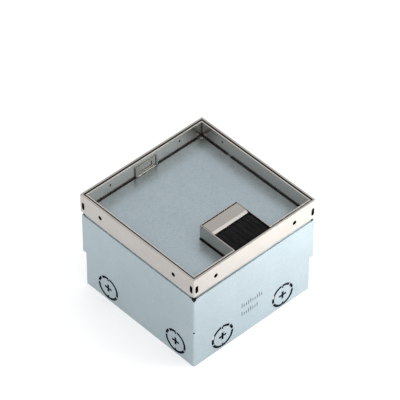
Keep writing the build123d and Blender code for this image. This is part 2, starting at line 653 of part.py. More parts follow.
def carrier_leg(side):
    """Folded leg of the carrier: foot, web with a cable window, and head flange."""
    web = CARRIER_L / 2 - LEG_IN
    y0, y1 = CARRIER_Y - LEG_L / 2, CARRIER_Y + LEG_L / 2
    leg = block(web - BASE_T, web, y0, y1, BASE_T, CARRIER_Z)
    leg += block(web - LEG_FOOT, web, y0, y1, CARRIER_Z - BASE_T, CARRIER_Z)
    leg += block(web - LEG_FOOT, web, y0, y1, BASE_T, 2 * BASE_T)
    middle = (CARRIER_Z + BASE_T) / 2
    leg -= block(web - 2 * BASE_T, web + PAST, CARRIER_Y - LEG_WINDOW_L / 2, CARRIER_Y + LEG_WINDOW_L / 2,
                 middle - LEG_WINDOW_H / 2, middle + LEG_WINDOW_H / 2)
    for sy in (-1, 1):
        leg -= post(web - LEG_FOOT / 2, CARRIER_Y + sy * LEG_L / 3, CARRIER_Z - 2 * BASE_T, CARRIER_Z + PAST,
                    CARRIER_SCREW_D)
    if side < 0:
        leg = mirror(leg, Plane.YZ)
    return Pos(CARRIER_X, 0, 0) * leg


def carrier_screws():
    """Pan-head screws through the carrier plate into its legs."""
    top = CARRIER_Z + BASE_T
    shapes = []
    for x, y in carrier_screw_places():
        head = post(x, y, top, top + CARRIER_HEAD_H, CARRIER_HEAD_D)
        head = chamfer(head.edges().filter_by(GeomType.CIRCLE).sort_by(Axis.Z)[-1], CARRIER_HEAD_H / 2)
        shapes.append(head + post(x, y, CARRIER_Z - 2 * BASE_T, top, CARRIER_SCREW_D))
    return Compound([shape.solid() for shape in shapes])


def module_body(x, y):
    """Face and body that every module shares."""
    top = CARRIER_Z + BASE_T
    face = Pos(x, y, top) * extrude(RectangleRounded(MODULE, MODULE, MODULE_R), MODULE_FACE)
    half = MODULE_BODY / 2
    return face + block(x - half, x + half, y - half, y + half, top + MODULE_FACE - MODULE_DEEP, top)


def socket_insert(x, y):
    """Power socket: round well, two pin holes and two seats for the earth clips."""
    top = CARRIER_Z + BASE_T + MODULE_FACE
    floor = top - WELL_DEEP
    body = module_body(x, y) - post(x, y, floor, top + PAST, WELL_D)
    for side in (-1, 1):
        body -= post(x + side * PIN_PITCH / 2, y, floor - PIN_HOLE_DEEP, floor + PAST, PIN_HOLE_D)
    seat = (WELL_D + CLIP_T) / 2
    return body - block(x - CLIP_W / 2, x + CLIP_W / 2, y - seat, y + seat, floor, top + PAST)


def earth_clips(x, y):
    """Two sprung earth contacts in the well of a socket."""
    top = CARRIER_Z + BASE_T + MODULE_FACE
    floor = top - WELL_DEEP
    shapes = []
    for side in (-1, 1):
        outer = WELL_D / 2 + CLIP_T / 2
        points = [(outer, floor), (outer, floor + CLIP_H), (outer - CLIP_T, floor + CLIP_H),
                  (outer - 3 * CLIP_T, floor + CLIP_H * 0.6), (outer - CLIP_T, floor + CLIP_H * 0.15),
                  (outer - CLIP_T, floor)]
        clip = extrude(Plane.YZ * make_face(Polyline(*points, close=True)), CLIP_W / 2, both=True)
        if side < 0:
            clip = mirror(clip, Plane.XZ)
        shapes.append((Pos(x, y, 0) * clip).solid())
    return Compound(shapes)


def data_outlet(x, y):
    """Data outlet face with two jack apertures."""
    body = module_body(x, y)
    top = CARRIER_Z + BASE_T + MODULE_FACE
    for side in (-1, 1):
        at = x + side * JACK_PITCH / 2
        body -= block(at - JACK_W / 2, at + JACK_W / 2, y - JACK_H / 2, y + JACK_H / 2,
                      top - JACK_DEEP, top + PAST)
    return body


def data_jacks(x, y):
    """Two data jacks, each with a stepped port."""
    top = CARRIER_Z + BASE_T + MODULE_FACE
    shapes = []
    for side in (-1, 1):
        at = x + side * JACK_PITCH / 2
        jack = block(at - JACK_W / 2, at + JACK_W / 2, y - JACK_H / 2, y + JACK_H / 2, top - JACK_DEEP, top)
        low = y - PORT_H / 2
        jack -= block(at - PORT_W / 2, at + PORT_W / 2, low, low + PORT_H, top - PORT_DEEP, top + PAST)
        jack -= block(at - TAB_KEY_W / 2, at + TAB_KEY_W / 2, low + PORT_H - PAST, low + PORT_H + TAB_KEY_H,
                      top - PORT_DEEP, top + PAST)
        shapes.append(jack.solid())
    return Compound(shapes)


def blank_cover(x, y):
    """Blank module: face with a snap skirt."""
    top = CARRIER_Z + BASE_T
    half = MODULE_BODY / 2
    inner = half - SKIRT_T
    skirt = block(x - half, x + half, y - half, y + half, top - SKIRT_H, top)
    skirt -= block(x - inner, x + inner, y - inner, y + inner, top - SKIRT_H - PAST, top)
    return skirt + Pos(x, y, top) * extrude(RectangleRounded(MODULE, MODULE, MODULE_R), MODULE_FACE)


def tie_rail():
    """Strain relief rail: a folded strip with T-shaped teeth for cable ties."""
    half = RAIL_L / 2
    rail = block(-half, half, RAIL_Y, RAIL_Y + RAIL_W, RAIL_Z, RAIL_Z + BASE_T)
    pitch = RAIL_L / RAIL_TEETH
    gap = (pitch - RAIL_TOOTH) / 2
    for tooth in range(RAIL_TEETH + 1):
        x = -half + tooth * pitch
        rail -= block(max(x - gap, -half - PAST), min(x + gap, half + PAST), RAIL_Y - PAST,
                      RAIL_Y + RAIL_W / 2, RAIL_Z - PAST, RAIL_Z + BASE_T + PAST)
    for side in (-1, 1):
        x0, x1 = (-half, -half + BASE_T) if side < 0 else (half - BASE_T, half)
        rail += block(x0, x1, RAIL_Y + RAIL_W / 2, RAIL_Y + RAIL_W, BASE_T, RAIL_Z + BASE_T)
        foot0, foot1 = (-half, -half + LEG_FOOT) if side < 0 else (half - LEG_FOOT, half)
        rail += block(foot0, foot1, RAIL_Y + RAIL_W / 2, RAIL_Y + RAIL_W, BASE_T, 2 * BASE_T)
    return rail


def earth_stud():
    """Protective earth stud on the base with two nuts."""
    x, y = RAIL_L / 2 + NUT_AF, RAIL_Y + LEG_FOOT
    stud = post(x, y, BASE_T, BASE_T + STUD_H, STUD_D)
    nut = extrude(RegularPolygon(NUT_AF / 2, 6, major_radius=False), NUT_H)
    return stud + Pos(x, y, BASE_T) * nut + Pos(x, y, BASE_T + 1.5 * NUT_H) * nut


def build():
    """Every sub-part by name."""
    parts = {}
    parts["box_front_shell"], parts["box_rear_shell"] = box_shells()
    parts["base_pan"] = base_pan()
    nuts = []
    for name, (sx, sy) in CORNERS.items():
        at = Pos(sx * SCREW_AT, sy * SCREW_AT, 0)
        parts[f"level_bracket_{name}"] = corner_angle(sx, sy, BOX_IN, Z_BRACKET, BRACKET_UP, 0)
        parts[f"level_lug_{name}"] = corner_angle(sx, sy, COLLAR_IN, Z_LUG, LUG_UP,
                                                  SCREW_D + 2 * LUG_HOLE_GAP)
        parts[f"level_screw_{name}"] = at * level_screw()
        nuts.append((at * level_nut()).solid())
    parts["level_nuts"] = Compound(nuts)
    parts["top_frame"] = top_frame()
    parts["collar"] = collar()
    parts["lid_seal"] = lid_seal()
    parts["lid_rim"] = lid_rim()
    parts["lid_plate"] = lid_plate()
    parts["lid_rivets"] = lid_rivets()
    parts["lid_rib_front"], parts["lid_rib_back"] = lid_rib(RIB_Y[0]), lid_rib(RIB_Y[1])
    parts["outlet_chute"] = chute()
    parts["flap_pin"] = cross_pin(OUTLET_X - OUTLET_HALF - PIN_PROUD, OUTLET_X + OUTLET_HALF + PIN_PROUD,
                                  PIN_Y, PIN_Z, PIN_D)
    parts["outlet_flap"] = flap_plate()
    parts["brush_holder"] = brush_holder()
    parts["brush_bristles"] = bristles()
    parts["lift_handle"] = lift_handle()
    parts["handle_guides"] = handle_guides()
    parts["carrier_plate"] = carrier_plate()
    parts["carrier_leg_left"], parts["carrier_leg_right"] = carrier_leg(-1), carrier_leg(1)
    parts["carrier_screws"] = carrier_screws()
    places = module_places()
    for number in (1, 2, 3):
        parts[f"socket_insert_{number}"] = socket_insert(*places[number - 1])
        parts[f"earth_clips_{number}"] = earth_clips(*places[number - 1])
    for number in (1, 2):
        parts[f"data_outlet_{number}"] = data_outlet(*places[number + 2])
        parts[f"data_jacks_{number}"] = data_jacks(*places[number + 2])
    parts["blank_cover"] = blank_cover(*places[5])
    parts["tie_rail"] = tie_rail()
    parts["earth_stud"] = earth_stud()
    return parts


for node, shape in build().items():
    save(node, shape)
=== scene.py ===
import json
import math
import random

import bmesh
import bpy
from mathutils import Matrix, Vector


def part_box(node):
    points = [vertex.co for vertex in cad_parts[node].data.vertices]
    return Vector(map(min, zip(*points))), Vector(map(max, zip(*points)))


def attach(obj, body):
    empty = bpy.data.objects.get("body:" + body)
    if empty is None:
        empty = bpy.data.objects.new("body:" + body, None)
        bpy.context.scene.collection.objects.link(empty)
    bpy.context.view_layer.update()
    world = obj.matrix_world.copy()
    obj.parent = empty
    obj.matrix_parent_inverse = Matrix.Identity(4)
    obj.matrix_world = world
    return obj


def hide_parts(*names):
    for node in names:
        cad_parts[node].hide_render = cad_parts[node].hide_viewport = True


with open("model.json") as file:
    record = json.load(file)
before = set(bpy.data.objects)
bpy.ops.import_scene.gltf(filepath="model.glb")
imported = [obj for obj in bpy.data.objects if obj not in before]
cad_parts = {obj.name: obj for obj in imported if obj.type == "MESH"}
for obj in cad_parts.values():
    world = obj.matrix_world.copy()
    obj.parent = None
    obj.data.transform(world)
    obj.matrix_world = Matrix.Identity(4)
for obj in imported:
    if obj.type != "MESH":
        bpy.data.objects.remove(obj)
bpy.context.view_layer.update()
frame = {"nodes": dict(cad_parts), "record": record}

MM = 0.001
NODES = frame["nodes"]


# Node helpers
COLOUR_A, COLOUR_B, COLOUR_OUT = 6, 7, 2        # colour sockets of a mix node
BEVEL_SAMPLES = 6
SHADE_SAMPLES = 8
SHADE_COLOUR = (0.012, 0.012, 0.013, 1.0)       # painted shade deep in slots, folds and narrow gaps
BEND_AT = -190.0 * MM                           # x + y is less than this round the bent corner


def material(name):
    """A new node material, its tree and its shader."""
    mat = bpy.data.materials.new(name)
    mat.use_nodes = True
    return mat, mat.node_tree, mat.node_tree.nodes["Principled BSDF"]


def add(tree, kind, **settings):
    """A new node with its settings."""
    node = tree.nodes.new(kind)
    for key, value in settings.items():
        setattr(node, key, value)
    return node


def stretched(tree, scale=(1.0, 1.0, 1.0)):
    """Object coordinates, stretched by a scale along each axis."""
    coords = add(tree, "ShaderNodeTexCoord")
    mapping = add(tree, "ShaderNodeMapping")
    mapping.inputs["Scale"].default_value = scale
    tree.links.new(coords.outputs["Object"], mapping.inputs["Vector"])
    return mapping.outputs["Vector"]


def noise(tree, vector, scale, detail=3.0, roughness=0.5):
    """Noise of a given scale."""
    texture = add(tree, "ShaderNodeTexNoise")
    texture.inputs["Scale"].default_value = scale
    texture.inputs["Detail"].default_value = detail
    texture.inputs["Roughness"].default_value = roughness
    tree.links.new(vector, texture.inputs["Vector"])
    return texture.outputs["Fac"]


def cells(tree, vector, scale):
    """Random grey of the cells of a Voronoi pattern."""
    texture = add(tree, "ShaderNodeTexVoronoi")
    texture.inputs["Scale"].default_value = scale
    tree.links.new(vector, texture.inputs["Vector"])
    split = add(tree, "ShaderNodeSeparateColor")
    tree.links.new(texture.outputs["Color"], split.inputs["Color"])
    return split.outputs["Red"]


def ramp(tree, factor, stops):
    """A colour ramp between two stops, each a place and a colour."""
    node = add(tree, "ShaderNodeValToRGB")
    for element, (place, colour) in zip(node.color_ramp.elements, stops):
        element.position = place
        element.color = (*colour, 1.0)
    tree.links.new(factor, node.inputs["Fac"])
    return node.outputs["Color"]


def spread(tree, value, low, high):
    """A 0 to 1 value mapped between two numbers."""
    node = add(tree, "ShaderNodeMapRange")
    node.inputs["To Min"].default_value = low
    node.inputs["To Max"].default_value = high
    tree.links.new(value, node.inputs["Value"])
    return node.outputs["Result"]


def blended(tree, first, second, amount):
    """Two colours mixed by a fixed amount."""
    node = add(tree, "ShaderNodeMix", data_type="RGBA")
    node.inputs["Factor"].default_value = amount
    tree.links.new(first, node.inputs[COLOUR_A])
    tree.links.new(second, node.inputs[COLOUR_B])
    return node.outputs[COLOUR_OUT]


def bumped(tree, shader, height, strength, distance, edge=0.0):
    """Bump from a height value, on edges that look rounded by a radius."""
    node = add(tree, "ShaderNodeBump")
    node.inputs["Strength"].default_value = strength
    node.inputs["Distance"].default_value = distance
    tree.links.new(height, node.inputs["Height"])
    if edge:
        bevel = add(tree, "ShaderNodeBevel", samples=BEVEL_SAMPLES)
        bevel.inputs["Radius"].default_value = edge
        tree.links.new(bevel.outputs["Normal"], node.inputs["Normal"])
    tree.links.new(node.outputs["Normal"], shader.inputs["Normal"])


def calc(tree, operation, *values):
    """One step of arithmetic on sockets or numbers."""
    node = add(tree, "ShaderNodeMath", operation=operation)
    for socket, value in zip(node.inputs, values):
        if isinstance(value, float):
            socket.default_value = value
        else:
            tree.links.new(value, socket)
    return node.outputs[0]


def axes(tree):
    """X, Y and Z of the object coordinates."""
    coords = add(tree, "ShaderNodeTexCoord")
    split = add(tree, "ShaderNodeSeparateXYZ")
    tree.links.new(coords.outputs["Object"], split.inputs["Vector"])
    return split.outputs[0], split.outputs[1], split.outputs[2]


def facing(tree, direction):
    """1 on faces that look along a direction, 0 on those square to it or turned away."""
    coords = add(tree, "ShaderNodeTexCoord")
    node = add(tree, "ShaderNodeVectorMath", operation="DOT_PRODUCT")
    node.inputs[1].default_value = direction
    tree.links.new(coords.outputs["Normal"], node.inputs[0])
    return calc(tree, "MAXIMUM", node.outputs["Value"], 0.0)


def in_band(tree, value, low, high):
    """1 where a value is between two numbers."""
    above = calc(tree, "GREATER_THAN", value, low)
    below = calc(tree, "LESS_THAN", value, high)
    return calc(tree, "MULTIPLY", above, below)


def from_middle(tree):
    """Distance from the Z axis to the side of an upright square about it."""
    x, y, _ = axes(tree)
    return calc(tree, "MAXIMUM", calc(tree, "ABSOLUTE", x), calc(tree, "ABSOLUTE", y))


def in_zone(tree, inside, outside, low, high):
    """1 in a zone of the walls: between two distances from the middle and two heights."""
    return calc(tree, "MULTIPLY", in_band(tree, from_middle(tree), inside, outside),
                in_band(tree, axes(tree)[2], low, high))


def off_bend(tree):
    """0 at the bent front corner of the box, 1 elsewhere."""
    x, y, _ = axes(tree)
    return calc(tree, "GREATER_THAN", calc(tree, "ADD", x, y), BEND_AT)


def toned(tree, colour, share, factor):
    """The same colour, scaled to a share of it where the factor is 1."""
    strength = spread(tree, factor, 1.0, share)
    node = add(tree, "ShaderNodeVectorMath", operation="SCALE")
    tree.links.new(colour, node.inputs[0])
    tree.links.new(strength, node.inputs["Scale"])
    return node.outputs["Vector"]


def painted_recess_shade(tree, colour, reach, power, local=False, zone=None):
    """The same colour with painted shade in slots, folds and narrow gaps, everywhere or where a
    zone is 1.

    Local painted shade comes from the piece's own form alone.
    """
    node = add(tree, "ShaderNodeAmbientOcclusion", samples=SHADE_SAMPLES, only_local=local)
    node.inputs["Distance"].default_value = reach
    light = calc(tree, "POWER", node.outputs["AO"], power)
    if zone is not None:
        light = calc(tree, "MAXIMUM", light, calc(tree, "SUBTRACT", 1.0, zone))
    mix = add(tree, "ShaderNodeMix", data_type="RGBA")
    mix.inputs[COLOUR_A].default_value = SHADE_COLOUR
    tree.links.new(light, mix.inputs["Factor"])
    tree.links.new(colour, mix.inputs[COLOUR_B])
    return mix.outputs[COLOUR_OUT]


# Galvanised sheet
ZINC_CLOUDS = ((0.3, (0.350, 0.418, 0.450)), (0.7, (0.402, 0.474, 0.510)))
ZINC_FLAKES = ((0.0, (0.305, 0.370, 0.405)), (1.0, (0.455, 0.535, 0.570)))
ZINC_SPECKLE = ((0.35, (0.285, 0.350, 0.380)), (0.65, (0.475, 0.550, 0.585)))
ZINC_DUST = ((0.3, (0.43, 0.405, 0.375)), (0.7, (0.50, 0.475, 0.435)))
FLAKE_AMOUNT = 0.35
SPECKLE_AMOUNT = 0.30
DUST_AMOUNT = 0.6
PAINTED_LIGHT_LEFT = 1.3             # painted light: share of the colour on the collar's face towards -X
PAINTED_SHADE_FRONT = 0.65           # painted shade: share of the colour on its face towards -Y
ZINC_SHADE = (2.5 * MM, 2.5)
SOFT_POWER = 0.5
ZINC_RELIEF = 0.2 * MM
ZINC_EDGE = 0.3 * MM
PAINTED_SLOT_SHADE = 0.05             # painted shade: share of the colour inside slots
PAINTED_TOP_HIGHLIGHT = 1.7              # painted highlight: share of the colour on the top edge of the box

# Zones of the box's walls with painted shade or highlight: two distances from the middle and two
# heights
FRONT_SLOTS = (98.32 * MM, 99.44 * MM, 0.5 * MM, 113.9 * MM)
FRONT_TOP = (98.20 * MM, 99.44 * MM, 113.9 * MM, 114.1 * MM)
REAR_SLOTS = (91.80 * MM, 92.94 * MM, 0.5 * MM, 50.0 * MM)


def dusted_with_painted_sides(tree, colour, clouds):
    """The same colour under warm dust, as on the collar, with painted light on its -X face and
    painted shade on its -Y face.
    """
    dust = ramp(tree, clouds, ZINC_DUST)
    colour = blended(tree, colour, dust, DUST_AMOUNT)
    # painted light on the face towards -X, painted shade on the face towards -Y
    colour = toned(tree, colour, PAINTED_LIGHT_LEFT, facing(tree, (-1, 0, 0)))
    return toned(tree, colour, PAINTED_SHADE_FRONT, facing(tree, (0, -1, 0)))


def galvanised(name, shade, roughness=(0.30, 0.42), relief=0.12, walls=(), soft=0.0):
    """Zinc-coated sheet: cool grey with small soft spangles and a fine grain.

    Its recesses get painted shade from all pieces or from its own form alone; otherwise it takes
    warm dust, with painted light and shade on its sides. Soft is the reach of a wide, faint painted
    shade. Walls are zones, each with its share of the colour as painted shade or highlight.
    """
    mat, tree, shader = material(name)
    place = stretched(tree)
    clouds = noise(tree, place, scale=28.0, detail=4.0)
    spangle = cells(tree, place, scale=420.0)
    grain = noise(tree, place, scale=1500.0, detail=2.0)
    base = ramp(tree, clouds, ZINC_CLOUDS)
    flakes = ramp(tree, spangle, ZINC_FLAKES)
    speckle = ramp(tree, grain, ZINC_SPECKLE)
    colour = blended(tree, blended(tree, base, flakes, FLAKE_AMOUNT), speckle, SPECKLE_AMOUNT)
    if shade == "dusty_painted_sides":
        colour = dusted_with_painted_sides(tree, colour, clouds)
    else:
        # painted shade in recesses
        colour = painted_recess_shade(tree, colour, *ZINC_SHADE, local=shade == "own")
    if soft:
        colour = painted_recess_shade(tree, colour, soft, SOFT_POWER)
    # painted shade in slots and painted highlight on the top edge of the box
    for zone, share in walls:
        painted_zone = calc(tree, "MULTIPLY", in_zone(tree, *zone), off_bend(tree))
        colour = toned(tree, colour, share, painted_zone)
    tree.links.new(colour, shader.inputs["Base Color"])
    tree.links.new(spread(tree, spangle, *roughness), shader.inputs["Roughness"])
    shader.inputs["Metallic"].default_value = 0.9
    bumped(tree, shader, grain, relief, ZINC_RELIEF, ZINC_EDGE)
    return mat


# Stainless sheet
LEVEL_GRAIN = (30.0, 30.0, 2200.0)              # brush lines that run level
CROSS_GRAIN = (30.0, 2200.0, 2200.0)            # brush lines along X
STEEL_DARK, STEEL_LIGHT = 0.90, 1.07            # shares of the tint in dark and light streaks
DRIFT_AMOUNT = 0.4
STEEL_SHADE = (4.0 * MM, 2.6)
GAP_SHADE = (5.0 * MM, 3.0)
PAINTED_DARK_SHARE = 0.10            # painted shade: share of the colour inside slots and on the brim by the gap
STEEL_RELIEF = 0.1 * MM
STEEL_EDGE = 0.4 * MM

# Zones of the walls of the frame and the rim with painted shade, given in the same way
FRAME_SLOTS = (97.06 * MM, 99.94 * MM, 120.2 * MM, 147.8 * MM)
FRAME_BRIM = (96.95 * MM, 97.45 * MM, 147.6 * MM, 148.1 * MM)
FRAME_GAP = (96.90 * MM, 97.06 * MM, 143.0 * MM, 148.1 * MM)
RIM_GAP = (95.0 * MM, 96.1 * MM, 122.0 * MM, 147.6 * MM)


def stainless(name, grain=LEVEL_GRAIN, tint=(0.475, 0.448, 0.420), shade=STEEL_SHADE,
              painted_dark=(), gaps=(), top=None):
    """Brushed stainless sheet: warm grey with fine lines along the grain.

    Some zones of its walls are painted dark as shade, and gaps get painted shade while something
    stands close to them.
    Top is the share of the colour on faces that look up, a painted shade there.
    """
    mat, tree, shader = material(name)
    lines = noise(tree, stretched(tree, grain), scale=1.0, roughness=0.6)
    clouds = noise(tree, stretched(tree), scale=35.0)
    dark = tuple(STEEL_DARK * channel for channel in tint)
    light = tuple(STEEL_LIGHT * channel for channel in tint)
    streaks = ramp(tree, lines, ((0.3, dark), (0.7, light)))
    drift = ramp(tree, clouds, ((0.3, dark), (0.7, light)))
    colour = blended(tree, streaks, drift, DRIFT_AMOUNT)
    # painted shade on faces that look up
    if top:
        colour = toned(tree, colour, top, facing(tree, (0, 0, 1)))
    # painted shade in slots and on the brim by the gap
    for zone in painted_dark:
        colour = toned(tree, colour, PAINTED_DARK_SHARE, in_zone(tree, *zone))
    # painted shade in gaps
    for zone in gaps:
        colour = painted_recess_shade(tree, colour, *GAP_SHADE, zone=in_zone(tree, *zone))
    if shade:
        colour = painted_recess_shade(tree, colour, *shade)
    tree.links.new(colour, shader.inputs["Base Color"])
    tree.links.new(spread(tree, lines, 0.18, 0.30), shader.inputs["Roughness"])
    shader.inputs["Metallic"].default_value = 0.95
    bumped(tree, shader, lines, 0.10, STEEL_RELIEF, STEEL_EDGE)
    return mat


# Other materials
FINE_RELIEF = 0.1 * MM


def small_metal(name, scale, low, high, roughness):
    """Metal of small pieces: zinc plating and brass."""
    mat, tree, shader = material(name)
    clouds = noise(tree, stretched(tree), scale)
    colour = ramp(tree, clouds, ((0.3, low), (0.7, high)))
    tree.links.new(colour, shader.inputs["Base Color"])
    tree.links.new(spread(tree, clouds, *roughness), shader.inputs["Roughness"])
    shader.inputs["Metallic"].default_value = 0.9
    return mat


def moulded(name, low, high, roughness):
    """Moulded plastic or rubber with a fine grain."""
    mat, tree, shader = material(name)
    place = stretched(tree)
    clouds = noise(tree, place, scale=45.0)
    fine = noise(tree, place, scale=1800.0, detail=2.0)
    colour = ramp(tree, clouds, ((0.3, low), (0.7, high)))
    tree.links.new(colour, shader.inputs["Base Color"])
    uneven = spread(tree, fine, roughness - 0.05, roughness + 0.05)
    tree.links.new(uneven, shader.inputs["Roughness"])
    bumped(tree, shader, fine, 0.08, FINE_RELIEF)
    return mat


def bristle():
    """Black nylon fibres with lighter streaks along them."""
    mat, tree, shader = material("brush_fibre")
    lines = noise(tree, stretched(tree, (900.0, 25.0, 900.0)), scale=1.0, roughness=0.7)
    colour = ramp(tree, lines, ((0.35, (0.004, 0.004, 0.004)), (0.75, (0.024, 0.022, 0.022))))
    tree.links.new(colour, shader.inputs["Base Color"])
    tree.links.new(spread(tree, lines, 0.42, 0.60), shader.inputs["Roughness"])
    shader.inputs["Specular IOR Level"].default_value = 0.25
    return mat


ZINC = galvanised("galvanised_sheet", "all")
BOX_ZINC = galvanised("galvanised_box", "own",
                      walls=((FRONT_SLOTS, PAINTED_SLOT_SHADE), (FRONT_TOP, PAINTED_TOP_HIGHLIGHT)))
REAR_ZINC = galvanised("galvanised_rear", "own", walls=((REAR_SLOTS, PAINTED_SLOT_SHADE),))
PAN_ZINC = galvanised("galvanised_pan", "own")
COLLAR_ZINC = galvanised("galvanised_collar", "dusty_painted_sides")
# soft: a wide, faint painted shade on the lid plate near its walls
LID_ZINC = galvanised("galvanised_lid", "all", (0.27, 0.36), 0.05, soft=25.0 * MM)
STEEL = stainless("stainless_walls")
FRAME_STEEL = stainless("stainless_frame", painted_dark=(FRAME_SLOTS, FRAME_BRIM), gaps=(FRAME_GAP,))
RIM_STEEL = stainless("stainless_rim", tint=(0.578, 0.543, 0.500), shade=(3.0 * MM, 1.4, True),
                      gaps=(RIM_GAP,))
FLAP_STEEL = stainless("stainless_flap", CROSS_GRAIN, (0.418, 0.394, 0.370))
# painted shade on the pull plate's faces that look up
PLATE_STEEL = stainless("stainless_pull_plate", tint=(0.46, 0.43, 0.38), shade=None, top=0.6)
PLATING = small_metal("zinc_plating", 300.0, (0.50, 0.50, 0.46), (0.62, 0.61, 0.56), (0.22, 0.36))
BRASS = small_metal("brass_contact", 250.0, (0.60, 0.44, 0.20), (0.72, 0.55, 0.28), (0.20, 0.34))
STAMPED = moulded("stamped_marks", (0.055, 0.065, 0.072), (0.085, 0.098, 0.108), 0.55)
RUBBER = moulded("seal_rubber", (0.018, 0.018, 0.019), (0.028, 0.028, 0.029), 0.65)
WHITE = moulded("socket_white", (0.76, 0.755, 0.72), (0.80, 0.795, 0.76), 0.32)
OUTLET_WHITE = moulded("outlet_white", (0.78, 0.775, 0.75), (0.82, 0.815, 0.79), 0.32)
JACK_BLACK = moulded("jack_black", (0.020, 0.020, 0.023), (0.034, 0.034, 0.038), 0.42)
FIBRE = bristle()

SLOT_MATERIALS = {
    "galvanised_steel": ZINC,
    "stainless_steel": STEEL,
    "zinc_plated_steel": PLATING,
    "seal_rubber": RUBBER,
    "brush_fibre": FIBRE,
    "socket_plastic": WHITE,
    "outlet_plastic": OUTLET_WHITE,
    "jack_plastic": JACK_BLACK,
    "contact_metal": BRASS,
}
NODE_MATERIALS = {
    "outlet_flap": FLAP_STEEL,
    "brush_holder": FLAP_STEEL,
    "lift_handle": PLATE_STEEL,
    "handle_guides": PLATE_STEEL,
    "box_front_shell": BOX_ZINC,
    "box_rear_shell": REAR_ZINC,
    "base_pan": PAN_ZINC,
    "top_frame": FRAME_STEEL,
    "collar": COLLAR_ZINC,
    "lid_plate": LID_ZINC,
    "lid_rim": RIM_STEEL,
}


def dress_nodes():
    """Give every node of the frame its material."""
    for entry in frame["record"]["subparts"]:
        name = entry["node"]
        mat = NODE_MATERIALS.get(name, SLOT_MATERIALS[entry["material_slot"]])
        mesh_slots = NODES[name].material_slots
        for mesh_slot in mesh_slots:
            mesh_slot.material = mat
        if not mesh_slots:
            NODES[name].data.materials.append(mat)


dress_nodes()


# New pieces
def mesh_piece(name, verts, faces, mat, body, smooth=False):
    """A new closed piece from points and faces that rides on a body."""
    mesh = bpy.data.meshes.new(name)
    mesh.from_pydata(verts, [], faces)
    sound = bmesh.new()
    sound.from_mesh(mesh)
    bmesh.ops.recalc_face_normals(sound, faces=sound.faces)
    sound.to_mesh(mesh)
    sound.free()
    mesh.materials.append(mat)
    mesh.polygons.foreach_set("use_smooth", [smooth] * len(mesh.polygons))
    piece = bpy.data.objects.new(name, mesh)
    bpy.context.scene.collection.objects.link(piece)
    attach(piece, body)
    return piece


def between(first, second, share):
    """The number a share of the way between two numbers."""
    return first + (second - first) * share


def prism_faces(start, count):
    """Both ends and the sides of a prism, whose two rings of points follow each other."""
    faces = [tuple(range(start, start + count)), tuple(range(start + count, start + 2 * count))]
    for index in range(count):
        after = (index + 1) % count
        faces.append((start + index, start + after, start + count + after, start + count + index))
    return faces


# Brush
FIBRE_SEED = 41
FIBRE_SIDES = 4
FIBRE_RADIUS = 0.19 * MM
FIBRE_TIP = 0.55             # share of the radius at the tip
FIBRE_PITCH = 0.43 * MM
FIBRE_LAYERS = 9
FIBRE_STRAY = 0.35           # share of the pitch by which roots stray
FIBRE_DRIFT = 0.9 * MM       # and the most that tips drift sideways
FIBRE_SHORT = 0.9 * MM       # bristles are up to this much shorter than the brush
FIBRE_SAG = 0.25 * MM
TUFT_PITCH = 6.6 * MM
TUFT_PULL = 0.5 * MM         # bristles gather sideways into tufts by this much
TUFT_DIP = 0.05              # share of the height by which the brush dips between tufts
BRUSH_LIP = 12.0 * MM        # root of the brush to the edge of the lip above it
BRUSH_FANNED = 20.5 * MM     # root of the brush to where it is fully fanned out
BRUSH_ROOT_H = 4.6 * MM
BRUSH_DIP = 0.7 * MM         # the lip presses the bristles down by this much
BRUSH_SPREAD = 1.0 * MM      # the lowest bristles drop by this much


def fibre_line(low, high, share, x, rng):
    """Points along one bristle, from the holder to its tip. share is its place in the height."""
    root, tip = high.y, low.y + FIBRE_RADIUS + rng.random() * FIBRE_SHORT
    floor_root = low.z + BRUSH_SPREAD
    ceiling = floor_root + BRUSH_ROOT_H
    drift = rng.uniform(-FIBRE_DRIFT, FIBRE_DRIFT)
    sag = rng.random() * FIBRE_SAG
    stops = ((root, ceiling), (root - BRUSH_LIP, ceiling - BRUSH_DIP),
             (root - BRUSH_FANNED, high.z), (tip, high.z))
    points = []
    for y, top in stops:
        along = (root - y) / (root - tip)
        bottom = between(floor_root, low.z, along)
        z = between(bottom + FIBRE_RADIUS, top - FIBRE_RADIUS, share) - sag * along
        side = min(max(x + drift * along, low.x + FIBRE_RADIUS), high.x - FIBRE_RADIUS)
        points.append(Vector((side, y, max(z, low.z + FIBRE_RADIUS))))
    return points


def add_fibre(verts, faces, points):
    """One bristle more: a thin closed tube along some points, narrower at its tip."""
    start = len(verts)
    end = start + (len(points) - 1) * FIBRE_SIDES
    for index, point in enumerate(points):
        radius = FIBRE_RADIUS * (FIBRE_TIP if index == len(points) - 1 else 1.0)
        for side in range(FIBRE_SIDES):
            angle = 2 * math.pi * side / FIBRE_SIDES
            verts.append(point + Vector((math.cos(angle), 0, math.sin(angle))) * radius)
    for ring in range(start, end, FIBRE_SIDES):
        for side in range(FIBRE_SIDES):
            a = ring + side
            b = ring + (side + 1) % FIBRE_SIDES
            faces.append((a, b, b + FIBRE_SIDES, a + FIBRE_SIDES))
    faces.append(tuple(range(start + FIBRE_SIDES - 1, start - 1, -1)))
    faces.append(tuple(range(end, end + FIBRE_SIDES)))


